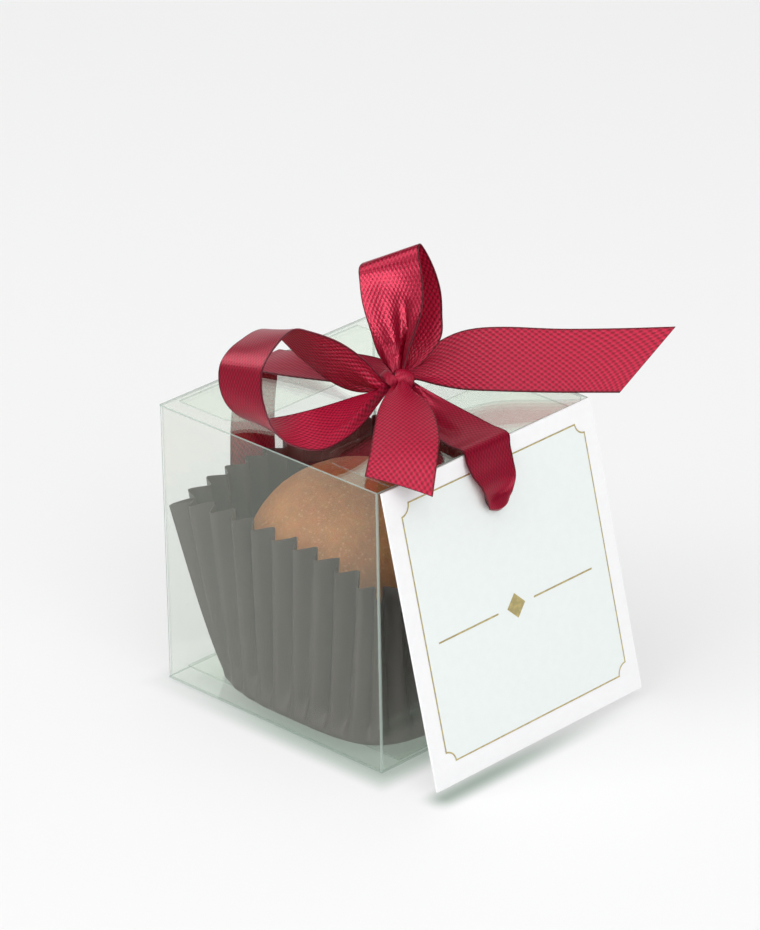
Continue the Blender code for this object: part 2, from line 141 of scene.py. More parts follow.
# The band round the box is in the model's frame, from the knot over the back and underneath.
BAND_BACK = (
    ((1.2, -4.4, 54.6), (2.8, -3.6, 55.6), 0.0),
    ((0.2, 1.0, 53.2), (4.6, 1.5, 56.0), 0.4),
    ((-1.4, 8.5, 52.2), (4.4, 9.0, 55.2), 0.5),
    ((-4.0, 17.0, 51.55), (3.8, 17.0, 53.2), 0.3),
    ((-6.6, 24.4, 51.45), (3.2, 24.4, 51.45), 0.0),
    ((-6.9, 25.35, 51.35), (3.0, 25.35, 51.35), 0.0),
    ((-7.0, 25.45, 50.5), (3.0, 25.45, 50.5), 0.0),
    ((-8.6, 25.45, 40.0), (1.5, 25.45, 40.0), 0.0),
    ((-9.0, 25.45, 20.0), (1.8, 25.45, 20.0), 0.0),
    ((-9.0, 25.45, 1.1), (1.8, 25.45, 1.1), 0.0),
    ((-9.0, 25.35, 0.3), (1.8, 25.35, 0.3), 0.0),
    ((-9.0, 24.4, 0.15), (1.8, 24.4, 0.15), 0.0),
    ((-9.0, 24.0, 0.15), (1.8, 24.0, 0.15), 0.0),
    ((-7.6, -24.0, 0.15), (3.2, -24.0, 0.15), 0.0),
    ((-7.6, -24.4, 0.15), (3.2, -24.4, 0.15), 0.0),
    ((-7.6, -25.35, 0.3), (3.2, -25.35, 0.3), 0.0),
    ((-7.5, -25.45, 1.1), (3.3, -25.45, 1.1), 0.0),
    ((-6.8, -25.45, 20.0), (3.8, -25.45, 20.0), 0.0),
    ((-5.2, -25.55, 31.0), (3.0, -25.55, 31.0), 0.3),
)
# Its end runs on through the tag's hole and up over the tag: across the card, down it, out of it.
BAND_ON_TAG = (
    ((-2.6, 13.0, -1.8), (2.0, 13.0, -1.8), 0.3),
    ((-2.1, 10.3, -1.5), (1.6, 10.1, -1.5), 0.1),
    ((-2.0, 9.8, -0.2), (1.2, 9.5, -0.2), -0.2),
    ((-3.2, 9.8, 1.0), (1.5, 9.2, 1.0), -1.1),
    ((-4.0, 8.4, 1.8), (2.1, 7.8, 1.9), 0.8),
    ((-4.6, 6.0, 1.8), (3.2, 6.0, 1.8), 0.5),
    ((-5.7, 3.6, 1.3), (3.7, 3.6, 1.3), 0.3),
    ((-6.2, 1.2, 0.9), (4.0, 1.2, 0.9), 0.1),
)
# And from the front edge of the lid back to the knot.
BAND_FRONT = (
    ((-6.2, -26.0, 51.9), (4.1, -26.2, 51.9), 0.0),
    ((-5.8, -22.5, 51.8), (4.2, -22.6, 52.1), 0.2),
    ((-4.6, -17.0, 52.1), (4.3, -17.5, 52.6), 0.5),
    ((-1.8, -10.5, 53.0), (4.0, -11.0, 53.6), 0.6),
    ((1.3, -4.8, 55.0), (2.8, -4.6, 55.4), 0.0),
)
# The knot: a wide wrap over its right half and a narrow one over its left, on a round core.
KNOT_CORE_RADIUS = 1.3
RIGHT_WRAP = (
    ((-0.5, 1.1, 1.2), (1.4, 0.8, 1.4), 0.0),
    ((-0.7, 1.3, -0.6), (1.8, 0.9, -0.5), 0.3),
    ((-0.9, 0.6, -2.1), (2.2, 0.3, -1.7), 0.6),
    ((-0.7, -0.8, -2.4), (2.1, -0.9, -2.0), 0.6),
    ((-0.3, -1.9, -1.3), (1.6, -1.7, -1.0), 0.3),
    ((-0.1, -2.0, 0.8), (1.3, -1.8, 1.0), 0.0),
)
LEFT_WRAP = (
    ((-3.3, 0.6, 0.9), (-2.4, 1.4, 0.9), 0.0),
    ((-3.1, 0.1, -1.3), (-2.1, 1.1, -1.0), 0.3),
    ((-2.3, -0.7, -2.3), (-1.4, 0.6, -2.1), 0.5),
    ((-1.3, -1.5, -2.3), (-0.3, -0.2, -2.4), 0.4),
    ((-0.9, -2.1, -0.6), (0.2, -1.3, -0.8), 0.0),
)
# Grooves that run along a strand: place across, half width across, depth, and from and to, in
# millimetres along it, or from its end where the first is negative.
NO_GROOVES = ()
BAND_GROOVES = ((0.36, 0.12, 1.2, -17.0, 0.0), (0.75, 0.08, -0.5, -10.0, 0.0))
UPPER_LOOP_GROOVES = ((0.7, 0.06, 1.6, 0.0, 14.0), (0.42, 0.2, 0.8, 4.0, 18.0), (0.25, 0.1, -0.6, 0.0, 9.0))
LEFT_LOOP_GROOVES = (
    (0.35, 0.12, 0.5, 0.0, 10.0),
    (0.75, 0.10, -0.6, 0.0, 9.0),
    (0.24, 0.08, 1.3, -17.0, 0.0),
)
FRONT_TAIL_GROOVES = ((0.18, 0.10, -0.6, 0.0, 10.0), (0.75, 0.14, 0.4, 0.0, 9.0))
RIGHT_TAIL_GROOVES = ((0.22, 0.10, -0.7, 0.0, 9.0), (0.55, 0.10, 0.4, 0.0, 8.0))

# tag
TAG_TOP = Vector((-0.5, -26.0, 51.3))  # middle of the top edge of the front face
TAG_LEAN = math.radians(13)
TAG_YAW = math.radians(0.6)
TAG_WIDTH = 49.3
TAG_HEIGHT = 50.8
HOLE_RADIUS = 2.6
HOLE_DOWN = 8.2
HOLE_X = -0.3
NOTCH_RADIUS = 1.9
UPRIGHT = Matrix.Rotation(math.radians(90), 3, "X")
EIGHTH_TURN = Matrix.Rotation(math.radians(45), 3, "Y")

# box
FILM = 0.3
FLAP_FRONT = 17.5
FLAP_BACK = 14.8
FLAP_HALF_WIDTH = 20.8
FLAP_CORNER = 4.5
TUCK_LENGTH = 12.0
TUCK_INSET = 1.5
FILM_GAP = 0.3
FILM_CLEARANCE = 0.01  # keeps two films' faces off one plane

# case
CASE_Z = 1.925
CASE_BASE = 23.75  # half width of the base, whose corners are rounder the lower their power is
BASE_SHIFT = -0.45
BASE_POWERS = (2.6, 4.2, 2.8, 2.8)  # -X +Y, -X -Y, +X -Y and +X +Y corners
BASE_ROUND = 0.9
CASE_RIDGE = 24.25
CASE_RIM = 34.3
RIM_TILT = 0.045
CORNER_DROP, DROP_POWER = 2.85, 3.5
VALLEY_RISE = 0.4
CASE_FLARE = 0.85
PLEAT_SHARPNESS = 0.9  # of a fold's crest, where 1 is a crease and 0 a sine
PLEATS_PER_WALL = (10, 10, 10, 11)
CASE_CELLS_PER_PLEAT = 10
CASE_ROWS = 36

# floor
FLOOR_GLOW = 0.55
TAG_FOOT = -37.5 * MM  # the Y at which the tag's lower edge nears the floor
BESIDE_PAINTED_SHADE = (0.3, 0.42, 0.33, 1.0)  # painted shade, green-grey, on the floor close to the clear box
TAG_PAINTED_SHADOW = (0.3, 0.4, 0.33, 1.0)  # painted shadow under the tag's edge
UNDER_PAINTED_SHADOW = (0.25, 0.32, 0.28, 1.0)  # and painted shadow under the case

# laddu
LADDU_RADIUS = 18.7
LADDU_CENTRE = Vector((-2.7, 2.7, 20.3))


def linear(hex_colour):
    """An sRGB hex colour as Blender's linear RGBA."""
    parts = [int(hex_colour[place:place + 2], 16) / 255 for place in (0, 2, 4)]
    return (*(c / 12.92 if c <= 0.04045 else ((c + 0.055) / 1.055) ** 2.4 for c in parts), 1.0)


class LadduPackSizes(bpy.types.PropertyGroup):
    ribbon_width: bpy.props.FloatProperty(
        name="Ribbon Width", description="Width of the ribbon as cut", default=0.0108, unit="LENGTH"
    )
    ribbon_thickness: bpy.props.FloatProperty(
        name="Ribbon Thickness", description="Thickness of the woven satin", default=0.00024, unit="LENGTH"
    )
    paper_thickness: bpy.props.FloatProperty(
        name="Paper Thickness", description="Thickness of the case's paper", default=0.00014, unit="LENGTH"
    )
    pleat_depth: bpy.props.FloatProperty(
        name="Pleat Depth", description="Depth of the case's pleats at the rim", default=0.003, unit="LENGTH"
    )
    line_width: bpy.props.FloatProperty(
        name="Foil Line Width", description="Width of the tag's foil line", default=0.00025, unit="LENGTH"
    )
    grain: bpy.props.FloatProperty(
        name="Laddu Grain", description="Depth of the grain of the sweet", default=0.00012, unit="LENGTH"
    )


def colour_property(name, description, hex_colour):
    return bpy.props.FloatVectorProperty(
        name=name, description=description, subtype="COLOR", size=4, min=0, max=1, default=linear(hex_colour)
    )


class LadduPackColours(bpy.types.PropertyGroup):
    satin: colour_property("Satin", "Face of the ribbon", "AA1239")
    satin_back: colour_property("Satin Back", "Woven back of the ribbon", "CE1C46")
    laddu: colour_property("Laddu", "Fried gram flour of the sweet", "BC7836")
    laddu_speck: colour_property("Speck", "Pale grains in the sweet", "E2AF84")
    paper: colour_property("Paper", "Paper of the case", "3A2E2B")
    card: colour_property("Card", "Bare margin of the tag", "F4F4F5")
    print_tint: colour_property("Print", "Pale print inside the tag's line", "EAF0EE")
    foil: colour_property("Foil", "Foil line of the tag", "C4B47C")
    floor: colour_property("Floor", "Surface the pack stands on", "A0A0A0")


def sizes():
    return bpy.context.scene.laddu_pack_sizes


def colours():
    return bpy.context.scene.laddu_pack_colours


# materials


def add(tree, kind, inputs=None, **settings):
    """Adds a shader node. An input is given its value, or is linked where it is another's socket."""
    node = tree.nodes.new("ShaderNode" + kind)
    for name, value in settings.items():
        setattr(node, name, value)
    for name, value in (inputs or {}).items():
        if isinstance(value, bpy.types.NodeSocket):
            tree.links.new(value, node.inputs[name])
        else:
            node.inputs[name].default_value = value
    return node


def new_material(name):
    made = bpy.data.materials.new(name)
    made.use_nodes = True
    made.node_tree.nodes.clear()
    return made, made.node_tree


def output(tree, shader):
    add(tree, "OutputMaterial", {"Surface": shader.outputs[0]})


def mixed(tree, factor, low, high, blend="MIX"):
    """A colour between two, by a factor."""
    node = add(tree, "Mix", data_type="RGBA", blend_type=blend)
    for place, value in ((0, factor), (6, low), (7, high)):
        if isinstance(value, bpy.types.NodeSocket):
            tree.links.new(value, node.inputs[place])
        else:
            node.inputs[place].default_value = value
    return node.outputs[2]


def dyed(tree, base, colour):
    """A colour times another."""
    return mixed(tree, 1.0, base, colour, "MULTIPLY")


def ramp(tree, value, low, high, to_low=0.0, to_high=1.0):
    """A smooth step of a value from one range to another."""
    inputs = {"Value": value, "From Min": low, "From Max": high, "To Min": to_low, "To Max": to_high}
    return add(tree, "MapRange", inputs, interpolation_type="SMOOTHSTEP").outputs[0]


def product(tree, first, second):
    return add(tree, "Math", {0: first, 1: second}, operation="MULTIPLY").outputs[0]


def sum_of(tree, first, second, factor=1.0):
    """First plus second times a factor."""
    return add(tree, "Math", {0: second, 1: factor, 2: first}, operation="MULTIPLY_ADD").outputs[0]


def wave(tree, along, across, length, width, sign):
    """A sine over a slanted line pattern with a repeat along and one across, in millimetres."""
    turns = sum_of(tree, product(tree, along, math.tau / length), across, sign * math.tau / width)
    return add(tree, "Math", {0: turns}, operation="SINE").outputs[0]


def ribbon_coordinates(tree):
    """Millimetres across and along the ribbon."""
    split = add(tree, "SeparateXYZ", {0: add(tree, "UVMap", uv_map="UVMap").outputs[0]})
    return split.outputs[0], split.outputs[1]


def painted_edge_shade(tree, across):
    """Painted shade: dark at the ribbon's two edges, clear between them."""
    width = sizes().ribbon_width / MM
    other = add(tree, "Math", {0: width, 1: across}, operation="SUBTRACT").outputs[0]
    nearest = add(tree, "Math", {0: across, 1: other}, operation="MINIMUM").outputs[0]
    return ramp(tree, nearest, 0.08, 0.38)


def let_light_through(tree, shader):
    """Ends a satin's tree: a share of the light on one side shows on the other."""
    glow = add(tree, "BsdfTranslucent", {"Color": SATIN_GLOW})
    output(tree, add(tree, "MixShader", {0: GLOW_SHARE, 1: shader.outputs[0], 2: glow.outputs[0]}))


def satin_face():
    """Woven polyester satin: long floats lie along it, so it shines with a fine grain, and streaks of
    painted sheen brighten its colour.
    """
    made, tree = new_material("satin_face")
    across, along = ribbon_coordinates(tree)
    # The floats are about 0.3 mm apart, drawn at 0.7 mm so that they show.
    left = wave(tree, along, across, 1.3, 0.7, 1)
    right = wave(tree, along, across, 1.3, 0.7, -1)
    weave = add(tree, "Math", {0: left, 1: right}, operation="ADD").outputs[0]
    # Painted sheen: noise streaks where the satin's colour is made brighter.
    streak_place = add(tree, "CombineXYZ", {"X": across, "Y": along}).outputs[0]
    streaks = add(
        tree, "TexNoise", {"Vector": streak_place, "Scale": 1.6, "Detail": 3.0, "Roughness": 0.6}
    ).outputs[0]
    edge = painted_edge_shade(tree, across)
    base = mixed(tree, ramp(tree, weave, -1.6, 1.4), (0.48, 0.36, 0.42, 1.0), WHITE)
    base = dyed(tree, base, colours().satin)
    painted_sheen = dyed(tree, base, (1.25, 1.2, 1.2, 1.0))
    base = mixed(tree, ramp(tree, streaks, 0.3, 0.75), base, painted_sheen)
    # Painted shade darkens the ribbon's two edges.
    base = mixed(tree, edge, dyed(tree, base, EDGE_PAINTED_SHADE), base)
    bump = add(tree, "Bump", {"Height": weave, "Strength": 0.9, "Distance": 0.008 * MM})
    shader = add(
        tree,
        "BsdfPrincipled",
        {
            "Base Color": base,
            "Metallic": 0.5,
            "Roughness": 0.3,
            "Normal": bump.outputs[0],
        },
    )
    let_light_through(tree, shader)
    return made


def satin_back():
    """The ribbon's woven back: short crossings in slanted rows, duller than the face."""
    made, tree = new_material("satin_back")
    across, along = ribbon_coordinates(tree)
    twill = wave(tree, along, across, 1.25, 0.85, 1)
    cross = wave(tree, along, across, 1.15, 0.95, -1)
    weave = sum_of(tree, twill, cross, 0.9)
    edge = painted_edge_shade(tree, across)
    base = mixed(tree, ramp(tree, weave, -1.9, 1.3), (0.34, 0.26, 0.32, 1.0), WHITE)
    base = dyed(tree, base, colours().satin_back)
    # Painted shade darkens the ribbon's two edges.
    base = mixed(tree, edge, dyed(tree, base, EDGE_PAINTED_SHADE), base)
    bump = add(tree, "Bump", {"Height": weave, "Strength": 0.8, "Distance": 0.035 * MM})
    shader = add(
        tree,
        "BsdfPrincipled",
        {
            "Base Color": base,
            "Metallic": 0.15,
            "Roughness": 0.4,
            "Specular IOR Level": 0.4,
            "Normal": bump.outputs[0],
        },
    )
    let_light_through(tree, shader)
    return made


def ribbon_edge():
    """The ribbon's cut and woven edges, where no face shines: matt and dark."""
    made, tree = new_material("ribbon_edge")
    place = add(tree, "TexCoord").outputs["Object"]
    threads = add(tree, "TexNoise", {"Vector": place, "Scale": 2400.0, "Detail": 2.0}).outputs[0]
    base = mixed(tree, threads, linear("3A0A16"), linear("7C1730"))
    output(tree, add(tree, "BsdfPrincipled", {"Base Color": base, "Roughness": 0.8}))
    return made


def fried_gram_flour():
    """Tiny fried drops of gram flour pressed with syrup: matt, with paler grains that stand out."""
    made, tree = new_material("fried_gram_flour")
    place = add(tree, "TexCoord").outputs["Object"]
    drops = add(tree, "TexVoronoi", {"Vector": place, "Scale": 900.0}, feature="F1")
    patches = add(tree, "TexNoise", {"Vector": place, "Scale": 160.0, "Detail": 5.0, "Roughness": 0.6})
    grain = add(tree, "TexNoise", {"Vector": place, "Scale": 2400.0, "Detail": 3.0, "Roughness": 0.6})
    body = colours().laddu
    patchy = ramp(tree, patches.outputs[0], 0.3, 0.72)
    base = mixed(tree, patchy, (0.9, 0.86, 0.8, 1.0), (1.1, 1.12, 1.16, 1.0))
    base = dyed(tree, base, body)
    tone = mixed(tree, 0.22, WHITE, drops.outputs["Color"])
    base = mixed(tree, 0.5, base, dyed(tree, base, tone))
    base = mixed(tree, ramp(tree, grain.outputs[0], 0.6, 0.72, 0.0, 0.6), base, colours().laddu_speck)
    crumbs = add(tree, "TexVoronoi", {"Vector": place, "Scale": 1500.0})
    spread = add(tree, "TexNoise", {"Vector": place, "Scale": 110.0, "Detail": 2.0})
    chance = add(tree, "SeparateColor", {0: crumbs.outputs["Color"]}).outputs[0]
    pale = sum_of(tree, chance, spread.outputs[0], 0.8)
    round_crumb = ramp(tree, crumbs.outputs["Distance"], 0.42, 0.1)
    pale = product(tree, ramp(tree, pale, 0.74, 1.0, 0.0, 0.42), round_crumb)
    base = mixed(tree, pale, base, colours().laddu_speck)
    height = sum_of(tree, grain.outputs[0], drops.outputs["Distance"], -0.8)
    bump = add(tree, "Bump", {"Height": height, "Strength": 0.5, "Distance": 0.25 * MM})
    shader = add(
        tree,
        "BsdfPrincipled",
        {
            "Base Color": base,
            "Roughness": 0.55,
            "Subsurface Weight": 0.2,
            "Subsurface Radius": (1.0, 0.5, 0.2),
            "Subsurface Scale": 2.5 * MM,
            "Specular IOR Level": 0.35,
            "Normal": bump.outputs[0],
        },
    )
    output(tree, shader)
    return made


def greaseproof_paper():
    """Dark brown greaseproof paper: calendered, so a faint sheen lies over its fine fibres."""
    made, tree = new_material("greaseproof_paper")
    place = add(tree, "TexCoord").outputs["Object"]
    fibre = add(tree, "TexNoise", {"Vector": place, "Scale": 900.0, "Detail": 2.0}).outputs[0]
    cloud = add(tree, "TexNoise", {"Vector": place, "Scale": 90.0, "Detail": 2.0}).outputs[0]
    tone = sum_of(tree, fibre, cloud, 0.6)
    base = mixed(tree, ramp(tree, tone, 0.5, 1.1), (0.93, 0.93, 0.93, 1.0), (1.06, 1.06, 1.05, 1.0))
    base = dyed(tree, base, colours().paper)
    rough = ramp(tree, cloud, 0.3, 0.7, 0.48, 0.62)
    shader = add(tree, "BsdfPrincipled", {"Base Color": base, "Roughness": rough, "Specular IOR Level": 0.4})
    output(tree, shader)
    return made


def clear_sheet():
    """Clear PET sheet: it lets light through with a faint green cast, and mirrors more at a slant."""
    made, tree = new_material("clear_pet_sheet")
    slant = add(tree, "LayerWeight", {"Blend": 0.5}).outputs["Facing"]
    power = add(tree, "Math", {0: slant, 1: 4.2}, operation="POWER").outputs[0]
    mirror = add(tree, "Math", {0: power, 1: 0.94, 2: 0.06}, operation="MULTIPLY_ADD").outputs[0]
    # What a wall mirrors away lights the far side as well, so it casts no shadow of its own.
    shadow = add(tree, "LightPath").outputs["Is Shadow Ray"]
    lit = add(tree, "Math", {0: 1.0, 1: shadow}, operation="SUBTRACT")
    mirror = product(tree, mirror, lit.outputs[0])
    through = add(tree, "BsdfTransparent", {"Color": (0.984, 0.993, 0.985, 1.0)})
    gloss = add(tree, "BsdfGlossy", {"Color": (0.94, 1.0, 0.9, 1.0), "Roughness": 0.02})
    inputs = {0: mirror, 1: through.outputs[0], 2: gloss.outputs[0]}
    output(tree, add(tree, "MixShader", inputs))
    return made


def sheet_edge(name, tint, cover):
    """Cut edges and folds of the clear sheet: they gather light from within, so they read as lines."""
    made, tree = new_material(name)
    through = add(tree, "BsdfTransparent", {"Color": (0.9, 0.95, 0.92, 1.0)})
    surface = add(tree, "BsdfPrincipled", {"Base Color": linear(tint), "Roughness": 0.2})
    inputs = {0: cover, 1: through.outputs[0], 2: surface.outputs[0]}
    output(tree, add(tree, "MixShader", inputs))
    return made


def coated_card(name, colour):
    """Coated card, printed or bare: smooth, with a soft satin gloss over faint fibre."""
    made, tree = new_material(name)
    place = add(tree, "TexCoord").outputs["Object"]
    fibre = add(tree, "TexNoise", {"Vector": place, "Scale": 700.0, "Detail": 3.0}).outputs[0]
    base = mixed(tree, ramp(tree, fibre, 0.3, 0.7), (0.985, 0.985, 0.985, 1.0), WHITE)
    base = dyed(tree, base, colour)
    bump = add(tree, "Bump", {"Height": fibre, "Strength": 0.06, "Distance": 0.05 * MM})
    shader = add(
        tree, "BsdfPrincipled", {"Base Color": base, "Roughness": 0.42, "Normal": bump.outputs[0]}
    )
    output(tree, shader)
    return made


def stamped_foil():
    """Gold foil stamped on card: a metal film with the card's unevenness in its shine."""
    made, tree = new_material("stamped_foil")
    place = add(tree, "TexCoord").outputs["Object"]
    wear = add(tree, "TexNoise", {"Vector": place, "Scale": 1200.0, "Detail": 2.0}).outputs[0]
    base = mixed(tree, ramp(tree, wear, 0.35, 0.7), (0.8, 0.8, 0.8, 1.0), (1.05, 1.05, 1.0, 1.0))
    base = dyed(tree, base, colours().foil)
    shader = add(tree, "BsdfPrincipled", {"Base Color": base, "Metallic": 0.6, "Roughness": 0.4})
    output(tree, shader)
    return made


def matt_floor():
    """A matt surface, lit a little from within. Shade is painted on it: a green-grey painted shade close to
    the clear box, and darker painted shadows under the case and the tag's edge."""
    made, tree = new_material("matt_floor")
    split = add(tree, "SeparateXYZ", {0: add(tree, "TexCoord").outputs["Object"]})
    sides = [add(tree, "Math", {0: split.outputs[axis]}, operation="ABSOLUTE").outputs[0] for axis in (0, 1)]
    farthest = add(tree, "Math", {0: sides[0], 1: sides[1]}, operation="SMOOTH_MAX")
    farthest.inputs[2].default_value = 3 * MM
    # Painted shade: a green-grey shade painted on the floor close to the clear box, stronger towards the
    # front.
    painted_shade_beside = ramp(tree, farthest.outputs[0], 30 * MM, 25 * MM)
    near = ramp(tree, split.outputs[1], 26 * MM, -6 * MM, 0.15, 0.62)
    painted_shade_beside = product(tree, painted_shade_beside, near)
    # Painted shadow under the case.
    under = ramp(tree, farthest.outputs[0], 24.0 * MM, 21.0 * MM, 0.0, 0.2)
    # Painted shadow along the tag's lower edge, stronger towards the left.
    from_tag = add(tree, "Math", {0: split.outputs[1], 1: -TAG_FOOT}, operation="ADD").outputs[0]
    from_tag = add(tree, "Math", {0: from_tag}, operation="ABSOLUTE").outputs[0]
    to_right = ramp(tree, split.outputs[0], 24 * MM, -16 * MM, 0.0, 0.8)
    to_left = ramp(tree, split.outputs[0], -28 * MM, -23 * MM)
    painted_tag_shadow = product(tree, ramp(tree, from_tag, 4 * MM, 0.0), product(tree, to_right, to_left))
    # The painted shades darken both the floor's colour and its glow.
    tint = mixed(tree, painted_shade_beside, WHITE, BESIDE_PAINTED_SHADE)
    tint = mixed(tree, painted_tag_shadow, tint, TAG_PAINTED_SHADOW)
    tint = mixed(tree, under, tint, UNDER_PAINTED_SHADOW)
    shader = add(tree, "BsdfPrincipled", {
        "Base Color": dyed(tree, tint, colours().floor),
        "Roughness": 0.9,
        "Specular IOR Level": 0.1,
        "Emission Color": tint,
        "Emission Strength": FLOOR_GLOW,
    })
    output(tree, shader)
    return made


# shapes


def object_from(shape, name, materials):
    """An object made from a finished bmesh, which it frees."""
    mesh = bpy.data.meshes.new(name)
    shape.to_mesh(mesh)
    shape.free()
    made = bpy.data.objects.new(name, mesh)
    for material in materials:
        mesh.materials.append(material)
    bpy.context.scene.collection.objects.link(made)
    return made


def apply_modifiers(piece):
    """Puts what the piece's modifiers make in its own mesh."""
    graph = bpy.context.evaluated_depsgraph_get()
    mesh = bpy.data.meshes.new_from_object(piece.evaluated_get(graph))
    mesh.name = piece.name
    piece.modifiers.clear()
    piece.data = mesh


def thicken(piece, thickness, back=0, rim=0):
    """Gives a sheet its thickness. Back and rim say how far down its materials theirs stand."""
    shell = piece.modifiers.new("thickness", "SOLIDIFY")
    shell.thickness = thickness
    shell.offset = 0.0
    shell.material_offset = back
    shell.material_offset_rim = rim


def keep(piece, slot, *nodes, angle=40):
    """Smooths a finished piece, hides the imported parts that it stands for, and hangs it on the body that
    carries it.
    """
    piece.data.shade_smooth()
    piece.data.set_sharp_from_angle(angle=math.radians(angle))
    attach(piece, BODY)
    if nodes:
        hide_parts(*nodes)
    return piece


def bow_point(point):
    """A point of the bow's own frame in the model's frame, in millimetres."""
    right = Vector((math.cos(BOW_TURN), -math.sin(BOW_TURN), 0.0))
    away = Vector((math.sin(BOW_TURN), math.cos(BOW_TURN), 0.0)) * math.cos(BOW_TILT)
    away.z = -math.sin(BOW_TILT)
    up = right.cross(away)
    return KNOT_CENTRE + right * point[0] + up * point[1] + away * point[2]


def tag_matrix():
    """Places the tag: X across the card, -Z down it and -Y out of its front face."""
    turn = Matrix.Rotation(TAG_YAW, 4, "Z") @ Matrix.Rotation(-TAG_LEAN, 4, "X")
    return Matrix.Translation(TAG_TOP * MM) @ turn


def tag_point(point):
    """Across, down and out on the tag's front face, in the model's frame, in millimetres."""
    across, down, out = point
    return (tag_matrix() @ (Vector((across, -out, -down)) * MM)) / MM


def placed(stations, place):
    """Stations of a frame of their own, in the model's frame."""
    return [(place(a), place(b), bulge) for a, b, bulge in stations]


def turned_over(stations):
    """The same strand with its satin on the other side."""
    return [(b, a, -bulge) for a, b, bulge in stations]


def smooth_value(values, knots, at):
    """Cubic curve through the values, which lie at the given knots along it."""
    last = len(values) - 1
    index = min(max(sum(knot <= at for knot in knots) - 1, 0), last - 1)
    span = knots[index + 1] - knots[index]
    part = (at - knots[index]) / span

    def slope(place):
        before, after = max(place - 1, 0), min(place + 1, last)
        return (values[after] - values[before]) / (knots[after] - knots[before])

    square, cube = part * part, part * part * part
    return (
        values[index] * (2 * cube - 3 * square + 1)
        + slope(index) * span * (cube - 2 * square + part)
        + values[index + 1] * (3 * square - 2 * cube)
        + slope(index + 1) * span * (cube - square)
    )


def hat(value):
    """One in the middle and nought from one away on, with no corner."""
    return math.cos(min(abs(value), 1.0) * math.pi / 2) ** 2


def groove_depth(grooves, across, at, length):
    """How far a strand is pushed out of its own surface at a place on it."""
    depth = 0.0
    for centre, half_width, deep, start, end in grooves:
        along = at
        if start < 0.0:
            along, start, end = length - at, 0.0, -start
        if start < along < end or (start == 0.0 and along <= end):
            fade = 1.0 if start == 0.0 else min(1.0, (along - start) / 2.0)
            fade *= min(1.0, (end - along) / (0.6 * (end - start)))
            depth += deep * fade * hat((across - centre) / (2 * half_width))
    return depth


def add_strand(shape, stations, grooves=NO_GROOVES, gathers=(0.0, 0.0), start=0.0, back=False):
    """Lofts a strand of ribbon through its stations, on a grid whose faces look to its satin side.

    Gathers are the depth of the small pleats at its two ends. Its UV map is millimetres across and
    along the ribbon, from a start. It gives back the strand's length."""
    layer = shape.loops.layers.uv.get("UVMap") or shape.loops.layers.uv.new("UVMap")
    left = [Vector(a) for a, b, bulge in stations]
    right = [Vector(b) for a, b, bulge in stations]
    bulges = [bulge for a, b, bulge in stations]
    middle = [(a + b) / 2 for a, b in zip(left, right)]
    knots = [0.0]
    for point, following in zip(middle, middle[1:]):
        knots.append(knots[-1] + (following - point).length)
    length = knots[-1]
    rows = max(4, round(length / ROW_LENGTH))
    grid = bmesh.ops.create_grid(shape, x_segments=CELLS_ACROSS, y_segments=rows, size=1.0)["verts"]
    lines = []
    for row in range(rows + 1):
        at = length * row / rows
        a, b = smooth_value(left, knots, at), smooth_value(right, knots, at)
        ahead = smooth_value(middle, knots, min(at + NUDGE, length))
        behind = smooth_value(middle, knots, max(at - NUDGE, 0.0))
        normal = (ahead - behind).cross(b - a).normalized()
        lines.append((at, a, b, normal, smooth_value(bulges, knots, at)))
    width = sizes().ribbon_width / MM
    places = {}
    for vert in grid:
        across, share = (vert.co.x + 1) / 2, (vert.co.y + 1) / 2
        at, a, b, normal, bulge = lines[round(share * rows)]
        out = bulge * 4 * across * (1 - across) + groove_depth(grooves, across, at, length)
        near = gathers[0] * math.exp(-at / 3.0) + gathers[1] * math.exp(-(length - at) / 3.0)
        out += near * math.sin(math.tau * 3.5 * across + 1.0)
        places[vert] = (across * width, start + at)
        vert.co = (a.lerp(b, across) + normal * out) * MM
    for face in {face for vert in grid for face in vert.link_faces}:
        face.material_index = 1 if back else 0
        for loop in face.loops:
            loop[layer].uv = places[loop.vert]
    return length


# operators


class LADDU_OT_ribbon(bpy.types.Operator):
    """Ties the satin ribbon: a band round the box, two loops, two tails and the knot"""

    bl_idname = "laddu_pack.ribbon"
    bl_label = "Ribbon and Bow"

    def execute(self, context):
        shape = bmesh.new()
        band = placed(BAND_BACK, Vector) + placed(BAND_ON_TAG, tag_point) + placed(BAND_FRONT, Vector)
        length = add_strand(shape, band, BAND_GROOVES, gathers=(0.2, 0.25))
        for stations, grooves, gathers in (
            (placed(LEFT_LOOP, bow_point), LEFT_LOOP_GROOVES, (0.4, 0.35)),
            (placed(UPPER_LOOP, bow_point), UPPER_LOOP_GROOVES, (0.3, 0.25)),
            (placed(FRONT_TAIL, bow_point), FRONT_TAIL_GROOVES, (0.3, 0.0)),
            (turned_over(placed(RIGHT_TAIL, bow_point)), RIGHT_TAIL_GROOVES, (0.3, 0.0)),
            (placed(RIGHT_WRAP, bow_point), NO_GROOVES, (0.0, 0.0)),
            (placed(LEFT_WRAP, bow_point), NO_GROOVES, (0.0, 0.0)),
        ):
            length += add_strand(shape, stations, grooves, gathers, start=length)
        core = bmesh.ops.create_uvsphere(shape, u_segments=20, v_segments=12, radius=KNOT_CORE_RADIUS * MM)
        bmesh.ops.translate(shape, vec=KNOT_CENTRE * MM, verts=core["verts"])
        ribbon = object_from(shape, "ribbon_bow", (satin_face(), satin_back(), ribbon_edge()))
        thicken(ribbon, sizes().ribbon_thickness, back=1, rim=2)
        apply_modifiers(ribbon)
        keep(ribbon, "satin", "ribbon", angle=50)
        return {"FINISHED"}


